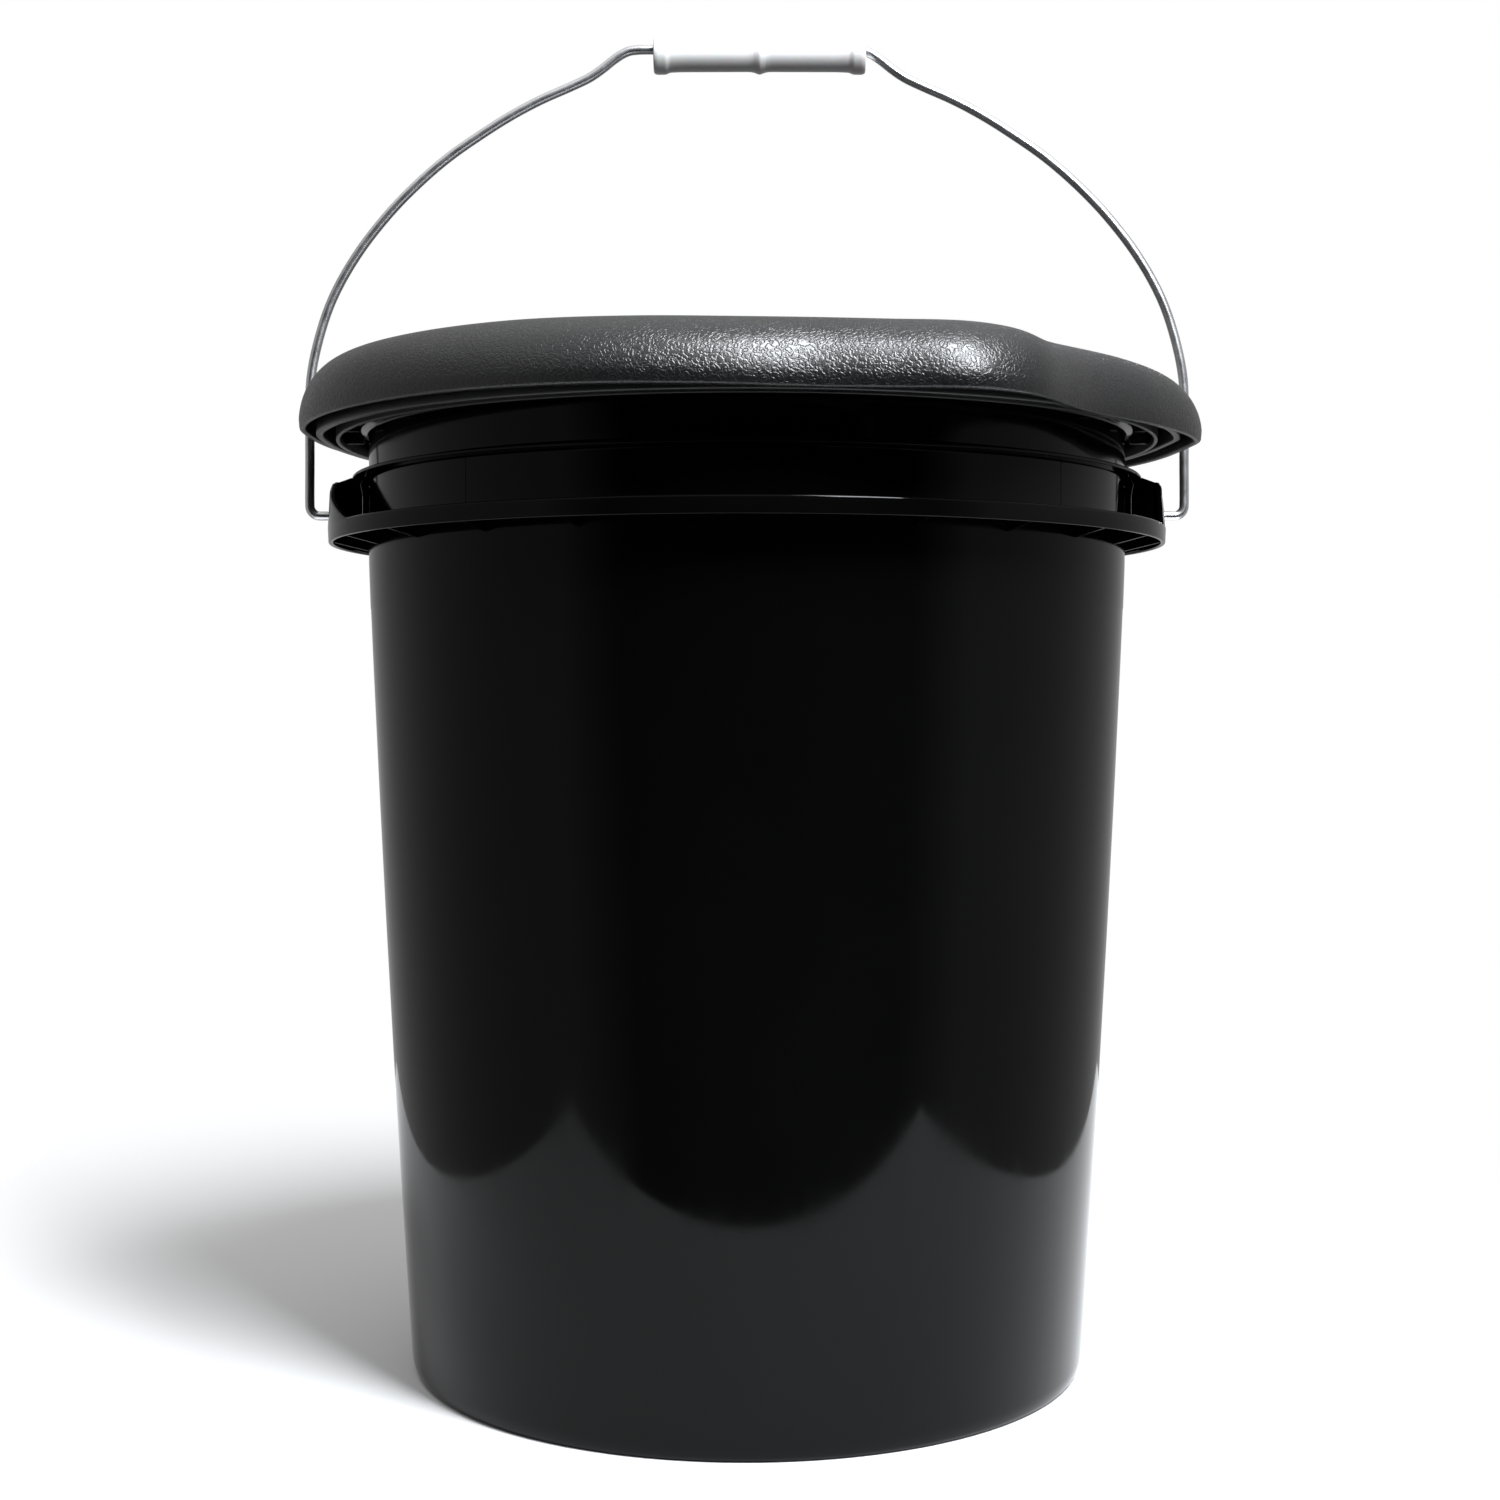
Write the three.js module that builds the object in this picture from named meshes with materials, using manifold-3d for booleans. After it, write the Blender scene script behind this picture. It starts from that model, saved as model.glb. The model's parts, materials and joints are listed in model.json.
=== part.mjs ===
// A 19 litre bucket with a press-fit seat, a hinged lid and a wire bail.
// Millimetres, +Z up. The origin is the centre of the flat bottom.
// +X runs through the bail's ears and -Y is the front.
import * as THREE from "three";
import { mergeVertices } from "three/addons/utils/BufferGeometryUtils.js";
import Module from "manifold-3d";

const wasm = await Module();
wasm.setup();

// Driving dimensions
const GAP = 0.3; // between pieces that touch
const BASE_R = 131;
const NECK_R = 148;
const WALL = 2.3;
const NECK_Z = 312; // where the tapered wall ends
const RIM_Z = 366;
const SKIRT_R = 163.6; // outer radius of the skirt ring that carries the ears
const SKIRT_Z = 325;
const BEAD_R = 151.5; // outer radius of the rim's bead
const FLANGE_R = 154.3;
const FLANGE_Z = 343.5;
const PIVOT_Z = 331.5; // the bail's axis
const WIRE_R = 1.85;
const BAIL_HALF = 173.6; // half the distance between the bail's legs
const BAIL_TOP_Z = 516.4;
const GRIP_SHIFT = 5; // the grip has slid a little towards +X
const GRIP_DROP = 2.2; // its bore is loose, so it hangs on the wire
const LID_BOTTOM_Z = 358;
const LID_WIDEST_Z = 360.5;
const LID_SHOULDER_Z = 384.5;
const LID_TOP_Z = 386.5;
const LID_WALL = 2.8;
const SECTION_EDGE = 172; // radius of the lid's edge in its reference section
const SECTION_SHOULDER = 150; // and of its shoulder
const LID_SKEW = 0.012; // the lid sits a little askew, with its -X side high
const COLLAR_R = 160.5;
const SEAT_HOLE_R = 112;
const SEAT_TOP_Z = 374;
const HINGE_Y = 163;
const HINGE_Z = 361;
const HINGE_R = 4.5;
const HINGE_X = 34; // centre of each hinge
const PIN_R = 1.8;

// Radius of the lid's widest line, and of its shoulder above it, at each angle from +X towards +Y.
// The front has a lifting lobe near 293 degrees.
const LID_EDGE = [
  [0, 171], [20, 168.5], [45, 167.5], [90, 168.5], [135, 167.5], [160, 168.5], [180, 170.9],
  [187, 172.2], [194, 174.6], [208, 177], [224, 180],
  [241, 183.5], [256, 183], [267, 179.5], [277, 177], [285, 182], [293, 191], [300, 188.5],
  [309, 175], [317, 169.5], [330, 173], [346, 177.2], [353, 173.6],
];
const LID_SHOULDER = [
  [0, 150], [40, 144], [90, 144], [140, 144], [180, 150], [198, 156], [240, 155], [257, 149.5],
  [268, 147], [278, 149],
  [288, 153], [296, 160], [303, 158], [311, 148], [318, 147], [330, 150], [347, 154],
];

// Materials
const glossBlack = new THREE.MeshStandardMaterial({ color: 0x0b0b0d, roughness: 0.18, metalness: 0 });
const grainBlack = new THREE.MeshStandardMaterial({ color: 0x1a1b1d, roughness: 0.5, metalness: 0 });
const zincSteel = new THREE.MeshStandardMaterial({ color: 0xb9bbbd, roughness: 0.35, metalness: 1 });
const whitePlastic = new THREE.MeshStandardMaterial({ color: 0xf2f1ee, roughness: 0.4, metalness: 0 });
const blackRubber = new THREE.MeshStandardMaterial({ color: 0x141414, roughness: 0.8, metalness: 0 });

// Turns a closed geometry into a solid for joining and cutting.
function solid(geometry) {
  const bare = geometry.clone();
  bare.deleteAttribute("normal");
  bare.deleteAttribute("uv");
  const merged = mergeVertices(bare, 1e-3);
  const corners = merged.index.array;
  const triVerts = [];
  for (let i = 0; i < corners.length; i += 3) {
    const [a, b, c] = corners.subarray(i, i + 3);
    if (a !== b && b !== c && c !== a) triVerts.push(a, b, c);
  }
  const vertProperties = merged.attributes.position.array;
  const mesh = new wasm.Mesh({ numProp: 3, vertProperties, triVerts: new Uint32Array(triVerts) });
  return new wasm.Manifold(mesh);
}

// Turns a finished solid back into a named mesh.
function part(name, made, material) {
  const { vertProperties, triVerts } = made.getMesh();
  const geometry = new THREE.BufferGeometry();
  geometry.setAttribute("position", new THREE.BufferAttribute(new Float32Array(vertProperties), 3));
  geometry.setIndex(new THREE.BufferAttribute(new Uint32Array(triVerts), 1));
  geometry.computeVertexNormals();
  const mesh = new THREE.Mesh(geometry, material);
  mesh.name = name;
  return mesh;
}

// A profile of [radius, z] points turned about Z.
function turned(profile, segments) {
  const points = profile.map(([r, z]) => new THREE.Vector2(r, z));
  return new THREE.LatheGeometry(points, segments).rotateX(Math.PI / 2);
}

function block([x0, y0, z0], [x1, y1, z1]) {
  const geometry = new THREE.BoxGeometry(x1 - x0, y1 - y0, z1 - z0);
  geometry.translate((x0 + x1) / 2, (y0 + y1) / 2, (z0 + z1) / 2);
  return solid(geometry);
}

// A round bar along X.
function bar(radius, x0, x1, y, z) {
  const geometry = new THREE.CylinderGeometry(radius, radius, x1 - x0, 16);
  geometry.rotateZ(Math.PI / 2);
  geometry.translate((x0 + x1) / 2, y, z);
  return solid(geometry);
}

// A flat radial plate with an outline of [radius, z] points, at an angle in degrees and shifted sideways.
function radialPlate(outline, thickness, degrees, shift = 0) {
  const shape = new THREE.Shape(outline.map(([r, z]) => new THREE.Vector2(r, z)));
  const geometry = new THREE.ExtrudeGeometry(shape, { depth: thickness, bevelEnabled: false });
  geometry.translate(0, 0, -thickness / 2);
  geometry.rotateX(Math.PI / 2);
  geometry.translate(0, shift, 0);
  geometry.rotateZ(THREE.MathUtils.degToRad(degrees));
  return solid(geometry);
}

// A smooth closed reading of a table of [degrees, value] rows.
function around(table, degrees) {
  const at = ((degrees % 360) + 360) % 360;
  let next = table.findIndex(([a]) => a > at);
  if (next < 0) next = table.length;
  const row = (i) => {
    const turns = Math.floor(i / table.length);
    const [a, v] = table[i - turns * table.length];
    return [a + 360 * turns, v];
  };
  const [p0, p1, p2, p3] = [next - 2, next - 1, next, next + 1].map(row);
  const span = p2[0] - p1[0];
  const t = (at - p1[0]) / span;
  const slope1 = ((p2[1] - p0[1]) / (p2[0] - p0[0])) * span;
  const slope2 = ((p3[1] - p1[1]) / (p3[0] - p1[0])) * span;
  const rise = p2[1] - p1[1];
  const square = 3 * rise - 2 * slope1 - slope2;
  const cube = slope1 + slope2 - 2 * rise;
  return p1[1] + slope1 * t + square * t * t + cube * t * t * t;
}

const ramp = (value, low, high) => THREE.MathUtils.clamp((value - low) / (high - low), 0, 1);

// Moves each vertex of a turned shape to the radius and height that a rule gives for its angle.
function moulded(geometry, rule) {
  const position = geometry.attributes.position;
  for (let i = 0; i < position.count; i += 1) {
    const [x, y, z] = [position.getX(i), position.getY(i), position.getZ(i)];
    const radius = Math.hypot(x, y);
    if (radius < 1e-6) continue;
    const degrees = Math.round(THREE.MathUtils.radToDeg(Math.atan2(y, x)) * 1e4) / 1e4;
    const [r, newZ] = rule(radius, z, degrees);
    position.setXYZ(i, (x / radius) * r, (y / radius) * r, newZ);
  }
  return geometry;
}

// Outer radius of the bucket's wall, which tapers with a slight bulge.
function wallRadius(z) {
  const s = z / NECK_Z;
  return BASE_R + (NECK_R - BASE_R) * s + 4 * s * (1 - s);
}

function bucketShell() {
  const levels = [8, 30, 70, 120, 170, 220, 270, NECK_Z];
  const outside = levels.map((z) => [wallRadius(z), z]);
  const inside = levels.map((z) => [wallRadius(z) - WALL, z]).reverse();
  const profile = [
    [0, 0], [108, 0], [110, 1.2], [114, 1.2], [116, 0], [BASE_R - 3.5, 0], [BASE_R - 1.7, 0.8],
    [BASE_R - 0.6, 3],
    ...outside,
    [NECK_R, SKIRT_Z - 1.8], [SKIRT_R - 1.9, SKIRT_Z - 1.8], [SKIRT_R - 2.1, SKIRT_Z - 6.5],
    [SKIRT_R - 0.3, SKIRT_Z - 6.5], [SKIRT_R, SKIRT_Z - 0.8], [SKIRT_R - 0.8, SKIRT_Z], [NECK_R, SKIRT_Z],
    [NECK_R, FLANGE_Z - 0.9], [FLANGE_R, FLANGE_Z - 0.7], [FLANGE_R, FLANGE_Z + 0.6],
    [NECK_R, FLANGE_Z + 0.9],
    [NECK_R, RIM_Z - 5], [BEAD_R, RIM_Z - 4.4], [BEAD_R, RIM_Z - 1], [BEAD_R - 1, RIM_Z],
    [NECK_R - 1.4, RIM_Z], [NECK_R - WALL, RIM_Z - 0.8],
    ...inside,
    [BASE_R - 3, 5], [BASE_R - 7, 3], [0, 3],
  ];
  return solid(turned(profile, 64));
}

// One ear: a plate that rises from the skirt ring, long on one side, and a rib on each side of the wire.
function ear(side) {
  const top = PIVOT_Z + 10.5;
  const foot = SKIRT_Z - 1;
  const corners = [[-76, foot], [-15, top], [14, top], [20, foot]];
  const outline = corners.map(([y, z]) => new THREE.Vector2(side * -y, z));
  if (side > 0) outline.reverse();
  const geometry = new THREE.ExtrudeGeometry(new THREE.Shape(outline), { depth: 60, bevelEnabled: false });
  geometry.rotateX(Math.PI / 2);
  geometry.rotateZ(Math.PI / 2);
  geometry.translate(side > 0 ? 115 : -175, 0, 0);
  const band = [
    [SKIRT_R - 2.2, foot - 0.5], [SKIRT_R, foot - 0.5], [SKIRT_R, top + 1],
    [SKIRT_R - 2.2, top + 1], [SKIRT_R - 2.2, foot - 0.5],
  ];
  let made = solid(turned(band, 64)).intersect(solid(geometry));
  const rib = [
    [NECK_R + 2.5, foot], [SKIRT_R - 1, foot], [SKIRT_R - 1, top - 1.5], [SKIRT_R - 3, top],
    [NECK_R + 2.5, top + 2],
  ];
  for (const y of [-13, 13]) made = made.add(radialPlate(rib, 2, side > 0 ? 0 : 180, y));
  const hole = bar(WIRE_R + 0.5, side * 160 - 10, side * 160 + 10, 0, PIVOT_Z);
  return made.subtract(hole);
}

function bucket() {
  let made = bucketShell();
  const gusset = [
    [NECK_R - 0.5, 316], [SKIRT_R - 1.5, 319.5], [SKIRT_R - 1.5, SKIRT_Z - 1.4], [NECK_R - 0.5, SKIRT_Z - 1.4],
  ];
  for (let i = 0; i < 24; i += 1) made = made.add(radialPlate(gusset, 1.6, 7.5 + 15 * i));
  const neckRib = [
    [NECK_R - 0.5, SKIRT_Z - 0.5], [NECK_R + 0.9, SKIRT_Z - 0.5],
    [NECK_R + 0.9, FLANGE_Z], [NECK_R - 0.5, FLANGE_Z],
  ];
  for (let i = 0; i < 8; i += 1) made = made.add(radialPlate(neckRib, 1, 3.7 + 45 * i));
  return made.add(ear(1)).add(ear(-1));
}

// The wire's centre line: hooked ends, upright legs, an arch, an S-bend each side and a straight top.
function bailPath() {
  const half = [];
  half.push([158, PIVOT_Z], [165, PIVOT_Z]);
  const bend = 4;
  for (let a = -90; a <= 0; a += 18) {
    const t = THREE.MathUtils.degToRad(a);
    half.push([BAIL_HALF - bend + bend * Math.cos(t), PIVOT_Z + bend + bend * Math.sin(t)]);
  }
  half.push([BAIL_HALF, 352], [BAIL_HALF, 370], [173.2, 386], [170, 402], [164.5, 418], [155, 435]);
  half.push([142.7, 451], [130.6, 463.5], [118.4, 474], [106, 482.7], [94, 490.3], [82, 496.7], [70, 502]);
  half.push([62.5, 505.6], [57.5, 509], [53, 512.6], [49, 515.2], [45.5, BAIL_TOP_Z], [24, BAIL_TOP_Z]);
  const points = [
    ...half.map(([x, z]) => new THREE.Vector3(x, 0, z)),
    ...half.reverse().map(([x, z]) => new THREE.Vector3(-x, 0, z)),
  ];
  const path = new THREE.CatmullRomCurve3(points);
  path.getUtoTmapping = (u) => u; // one step per bend point, so that the tight bends stay round
  return { path, steps: points.length - 1 };
}

function bailWire() {
  const { path, steps } = bailPath();
  const section = new THREE.Shape().absarc(0, 0, WIRE_R, 0, 2 * Math.PI);
  const options = { steps, curveSegments: 5, bevelEnabled: false, extrudePath: path };
  return solid(new THREE.ExtrudeGeometry(section, options));
}

function bailGrip() {
  const half = 42;
  const bore = WIRE_R + GRIP_DROP + 0.35;
  const side = [[half, 6.4], [half - 1.2, 7.2], [half - 5, 7], [half - 8, 6.3], [4, 6.2], [2, 6.9]];
  const profile = [
    [bore, -half],
    ...side.map(([x, r]) => [r, -x]),
    ...side.reverse().map(([x, r]) => [r, x]),
    [bore, half], [bore, -half],
  ];
  const geometry = turned(profile, 24);
  geometry.rotateY(Math.PI / 2);
  geometry.translate(GRIP_SHIFT, 0, BAIL_TOP_Z - GRIP_DROP);
  return solid(geometry);
}

// The seat's outer wall follows the lid's edge inside it, and its other walls are round.
function seatRule(radius, z, degrees) {
  const wall = THREE.MathUtils.clamp(around(LID_EDGE, degrees) - 6.5, 163.2, 169);
  return [radius + (wall - 166) * ramp(radius, 161, 163), z];
}

function seatRing() {
  const under = RIM_Z + GAP;
  const profile = [
    [SEAT_HOLE_R + 1, 352], [SEAT_HOLE_R + 3, 352], [SEAT_HOLE_R + 3.5, under],
    [NECK_R - WALL - 4, under], [NECK_R - WALL - 3.5, 355], [NECK_R - WALL - 1.5, 355],
    [NECK_R - WALL - 0.6, 360],
    [NECK_R - WALL - 0.6, under], [COLLAR_R - 1.5, under], [COLLAR_R - 1.5, LID_BOTTOM_Z],
    [COLLAR_R, LID_BOTTOM_Z], [COLLAR_R, 366.8], [162.6, 366], [163.4, LID_BOTTOM_Z], [166, LID_BOTTOM_Z],
    [166, 362.5], [163.5, 367.8], [157, SEAT_TOP_Z - 3.4], [147, SEAT_TOP_Z - 1.2],
    [134, SEAT_TOP_Z], [124, SEAT_TOP_Z - 0.6],
    [116, SEAT_TOP_Z - 2.5], [SEAT_HOLE_R, 368], [SEAT_HOLE_R + 1, 352],
  ];
  return solid(moulded(turned(profile, 64), seatRule));
}

function seat() {
  let made = seatRing();
  const gusset = [
    [BEAD_R + 0.5, LID_BOTTOM_Z + 2], [COLLAR_R - 1, LID_BOTTOM_Z + 2],
    [COLLAR_R - 1, RIM_Z + 1], [BEAD_R + 0.5, RIM_Z + 1],
  ];
  for (let i = 0; i < 24; i += 1) made = made.add(radialPlate(gusset, 1.5, 15 * i));
  for (const x of [-HINGE_X, HINGE_X]) {
    made = made.subtract(block([x - 11.5, HINGE_Y - 6, 350], [x + 11.5, 180, 380]));
    const root = block([x - 4, HINGE_Y - 12, HINGE_Z], [x + 4, HINGE_Y - 5.5, HINGE_Z + 7.5]);
    const lug = block([x - 4, HINGE_Y - 6, HINGE_Z - HINGE_R], [x + 4, HINGE_Y, HINGE_Z + HINGE_R]);
    made = made.add(root).add(lug).add(bar(HINGE_R, x - 4, x + 4, HINGE_Y, HINGE_Z));
    made = made.subtract(bar(PIN_R + GAP, x - 10, x + 10, HINGE_Y, HINGE_Z));
  }
  return made;
}

// The lid is turned from its reference section. Each angle moves its edge and shoulder to their own radius.
function lidRule(radius, z, degrees) {
  const edge = around(LID_EDGE, degrees) - SECTION_EDGE;
  const shoulder = (around(LID_SHOULDER, degrees) - SECTION_SHOULDER) * ramp(radius, 60, SECTION_SHOULDER);
  const share = ramp(radius, SECTION_SHOULDER, SECTION_EDGE);
  const r = radius + shoulder * (1 - share) + edge * share;
  return [r, z - LID_SKEW * r * Math.cos(THREE.MathUtils.degToRad(degrees))];
}

// Height of the lid's underside over a point inside its shoulder, before the skew.
function lidUnderside(radius) {
  return LID_TOP_Z - LID_WALL - (LID_TOP_Z - LID_SHOULDER_Z) * (radius / SECTION_SHOULDER) ** 2;
}

function lidShell() {
  const side = [];
  for (let a = 0; a <= 90; a += 18) {
    const t = THREE.MathUtils.degToRad(a);
    side.push([
      SECTION_SHOULDER + (SECTION_EDGE - SECTION_SHOULDER) * Math.cos(t),
      LID_WIDEST_Z + (LID_SHOULDER_Z - LID_WIDEST_Z) * Math.sin(t),
    ]);
  }
  const inner = side.map(([r, z]) => [
    r - LID_WALL * ramp(r, 140, 165),
    z - LID_WALL * ramp(z, 362, 380),
  ]).reverse();
  const profile = [
    [0, lidUnderside(0)], [60, lidUnderside(60)], [110, lidUnderside(110)],
    ...inner,
    [SECTION_EDGE - LID_WALL, LID_BOTTOM_Z], [SECTION_EDGE - 1.2, LID_BOTTOM_Z],
    ...side,
    [110, lidUnderside(110) + LID_WALL], [60, lidUnderside(60) + LID_WALL], [0, LID_TOP_Z],
  ];
  return solid(moulded(turned(profile, 72), lidRule));
}

function lid() {
  let made = lidShell();
  const span = HINGE_X + 12;
  made = made.subtract(block([-span, HINGE_Y - 8, 350], [span, HINGE_Y + 12, HINGE_Z + 6]));
  for (const x of [-HINGE_X, HINGE_X]) {
    for (const x0 of [x - 9.8, x + 4.4]) {
      const cheek = block([x0, HINGE_Y - HINGE_R, HINGE_Z], [x0 + 5.4, HINGE_Y + 3, HINGE_Z + 14]);
      made = made.add(cheek).add(bar(HINGE_R, x0, x0 + 5.4, HINGE_Y, HINGE_Z));
    }
    made = made.subtract(bar(PIN_R + GAP, x - 12, x + 12, HINGE_Y, HINGE_Z));
  }
  return made;
}

// A pad fixed under the lid, which rests on the seat.
function lidPad(degrees) {
  const radius = 138;
  const x = radius * Math.cos(THREE.MathUtils.degToRad(degrees));
  const y = radius * Math.sin(THREE.MathUtils.degToRad(degrees));
  const top = lidUnderside(radius + 6) - LID_SKEW * x - GAP;
  const height = top - (SEAT_TOP_Z + GAP);
  const geometry = new THREE.CylinderGeometry(5, 4.5, height, 16);
  geometry.rotateX(Math.PI / 2);
  geometry.translate(x, y, top - height / 2);
  return solid(geometry);
}

const group = new THREE.Group();
group.add(part("bucket", bucket(), glossBlack));
group.add(part("bail_wire", bailWire(), zincSteel));
group.add(part("bail_grip", bailGrip(), whitePlastic));
group.add(part("seat", seat(), grainBlack));
group.add(part("lid", lid(), grainBlack));
for (const [name, x] of [["hinge_pin_left", -HINGE_X], ["hinge_pin_right", HINGE_X]]) {
  group.add(part(name, bar(PIN_R, x - 9.6, x + 9.6, HINGE_Y, HINGE_Z), zincSteel));
}
for (let i = 0; i < 4; i += 1) group.add(part(`lid_pad_${i + 1}`, lidPad(45 + 90 * i), blackRubber));

export default group;
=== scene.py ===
import json
import math

import bmesh
import bpy
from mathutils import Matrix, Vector


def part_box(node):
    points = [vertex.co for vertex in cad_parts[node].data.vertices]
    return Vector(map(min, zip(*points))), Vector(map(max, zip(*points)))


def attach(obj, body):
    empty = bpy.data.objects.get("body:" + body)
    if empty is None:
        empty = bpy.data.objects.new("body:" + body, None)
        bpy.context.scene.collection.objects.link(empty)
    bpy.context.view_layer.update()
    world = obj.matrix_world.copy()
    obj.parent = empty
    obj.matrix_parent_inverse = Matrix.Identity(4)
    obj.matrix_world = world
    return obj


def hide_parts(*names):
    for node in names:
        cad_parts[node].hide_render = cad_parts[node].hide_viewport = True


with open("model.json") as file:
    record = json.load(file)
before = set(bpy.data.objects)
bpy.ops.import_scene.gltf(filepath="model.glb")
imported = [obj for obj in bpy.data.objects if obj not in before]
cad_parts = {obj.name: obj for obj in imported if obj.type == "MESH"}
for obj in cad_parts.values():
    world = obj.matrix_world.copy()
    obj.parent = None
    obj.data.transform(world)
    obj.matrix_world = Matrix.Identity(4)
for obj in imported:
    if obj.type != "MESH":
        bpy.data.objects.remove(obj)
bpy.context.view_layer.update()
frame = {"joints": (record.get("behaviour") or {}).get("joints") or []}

MM = 0.001

# ---------------------------------------------------------------------------
# Dimensions in millimetres, taken from the frame where it has them
# ---------------------------------------------------------------------------


def box_mm(node):
    low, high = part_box(node)
    return [v / MM for v in low], [v / MM for v in high]


def joint_mm(name):
    joint = next(j for j in frame["joints"] if j["name"] == name)
    return [v / MM for v in joint["pos_m"]]


bucket_low, bucket_high = box_mm("bucket")
wire_low, wire_high = box_mm("bail_wire")
grip_low, grip_high = box_mm("bail_grip")

RIM_Z = bucket_high[2]
SKIRT_R = bucket_high[0]
SKIRT_Z = RIM_Z - 41
FLANGE_Z = RIM_Z - 22.5
FLANGE_R = 154.3
BEAD_R = 151.5
NECK_Z = RIM_Z - 54
NECK_R = 148
BASE_R = 131
WALL = 2.3
PIVOT_Z = joint_mm("bail_swing")[2]
WIRE_R = 1.85
BAIL_HALF = wire_high[0] - WIRE_R
GRIP_Z = joint_mm("grip_spin")[2]
GRIP_DROP = 2.2
BAIL_TOP_Z = GRIP_Z + GRIP_DROP
GRIP_MIDDLE = (grip_low[0] + grip_high[0]) / 2
GRIP_HALF = (grip_high[0] - grip_low[0]) / 2
_, HINGE_Y, HINGE_Z = joint_mm("lid_open")
HINGE_X = 34
HINGE_R = 4.5
PIN_R = 1.8
LID_BOTTOM_Z = RIM_Z - 8
LID_WIDEST_Z = RIM_Z - 5.5
LID_SHOULDER_Z = RIM_Z + 18.5
LID_TOP_Z = RIM_Z + 20.5
LID_WALL = 2.8
LID_SKEW = 0.012
SECTION_EDGE = 172
SECTION_SHOULDER = 150
COLLAR_R = 160.5
SEAT_HOLE_R = 112
SEAT_TOP_Z = RIM_Z + 8
GAP = 0.3

# Radius of the lid's widest line and of its shoulder at each angle from +X towards +Y
LID_EDGE = [
    (0, 171), (20, 168.5), (45, 167.5), (90, 168.5), (135, 167.5), (160, 168.5), (180, 170.9),
    (187, 172.2), (194, 174.6), (208, 177), (224, 180), (241, 183.5), (256, 183), (267, 179.5),
    (277, 177), (285, 182), (293, 191), (300, 188.5), (309, 175), (317, 169.5), (330, 173),
    (346, 177.2), (353, 173.6),
]
LID_SHOULDER = [
    (0, 150), (40, 144), (90, 144), (140, 144), (180, 150), (198, 156), (240, 155), (257, 149.5),
    (268, 147), (278, 149), (288, 153), (296, 160), (303, 158), (311, 148), (318, 147), (330, 150),
    (347, 154),
]

ROUND_SEGMENTS = 240

# ---------------------------------------------------------------------------
# Mesh tools, in millimetres until a piece is made
# ---------------------------------------------------------------------------


def mesh_from(name, verts, faces):
    mesh = bpy.data.meshes.new(name)
    mesh.from_pydata([Vector(v) * MM for v in verts], [], faces)
    shell = bmesh.new()
    shell.from_mesh(mesh)
    bmesh.ops.recalc_face_normals(shell, faces=shell.faces)
    shell.to_mesh(mesh)
    shell.free()
    return mesh


def joined(shells):
    """One list of vertices and faces for several shells that stay clear of each other."""
    verts, faces = [], []
    for shell_verts, shell_faces in shells:
        start = len(verts)
        verts += shell_verts
        faces += [[start + i for i in face] for face in shell_faces]
    return verts, faces


def combine(piece, operation, verts, faces):
    """Joins a closed shell to a piece, or cuts it out."""
    tool = bpy.data.objects.new("tool", mesh_from("tool", verts, faces))
    bpy.context.scene.collection.objects.link(tool)
    cut = piece.modifiers.new("combine", "BOOLEAN")
    cut.operation = operation
    cut.solver = "MANIFOLD"
    cut.object = tool
    result = bpy.data.meshes.new_from_object(piece.evaluated_get(bpy.context.evaluated_depsgraph_get()))
    piece.modifiers.clear()
    piece.data = result
    bpy.data.objects.remove(tool)


def make_piece(name, first, body, material, replaces, joins=(), cuts=(), sharp=38):
    piece = bpy.data.objects.new(name, mesh_from(name, *first))
    bpy.context.scene.collection.objects.link(piece)
    for shell in joins:
        combine(piece, "UNION", *shell)
    for shell in cuts:
        combine(piece, "DIFFERENCE", *shell)
    mesh = piece.data
    mesh.name = name
    mesh.polygons.foreach_set("use_smooth", [True] * len(mesh.polygons))
    mesh.set_sharp_from_angle(angle=math.radians(sharp))
    mesh.materials.clear()
    mesh.materials.append(material)
    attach(piece, body)
    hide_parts(replaces)
    return piece


def rounded(points, radius, steps=3, closed=True):
    """Cuts each corner of an outline with a small arc. A third value on a point gives its own radius."""
    out = []
    count = len(points)
    for i, point in enumerate(points):
        here = Vector(point[:2])
        if not closed and i in (0, count - 1):
            out.append(tuple(here))
            continue
        before = Vector(points[i - 1][:2])
        after = Vector(points[(i + 1) % count][:2])
        own = point[2] if len(point) > 2 else radius
        back, on = before - here, after - here
        reach = min(own, back.length * 0.45, on.length * 0.45)
        start = here + back.normalized() * reach
        end = here + on.normalized() * reach
        for k in range(steps + 1):
            t = k / steps
            out.append(tuple(start * (1 - t) ** 2 + here * 2 * t * (1 - t) + end * t * t))
    return out


def turned(profile, segments=ROUND_SEGMENTS, rule=None, closed=True):
    """Turns [radius, z] points about Z. An open profile starts and ends on the axis."""
    verts, rings = [], []
    for r, z in profile:
        if r < 1e-6:
            rings.append([len(verts)])
            verts.append((0, 0, z))
            continue
        ring = []
        for k in range(segments):
            angle = 2 * math.pi * k / segments
            radius, height = rule(r, z, math.degrees(angle)) if rule else (r, z)
            ring.append(len(verts))
            verts.append((radius * math.cos(angle), radius * math.sin(angle), height))
        rings.append(ring)
    faces = []
    pairs = list(zip(rings, rings[1:]))
    if closed:
        pairs.append((rings[-1], rings[0]))
    for low, high in pairs:
        for k in range(segments):
            n = (k + 1) % segments
            if len(low) == 1:
                faces.append([low[0], high[n], high[k]])
            elif len(high) == 1:
                faces.append([low[k], low[n], high[0]])
            else:
                faces.append([low[k], low[n], high[n], high[k]])
    return verts, faces


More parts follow.
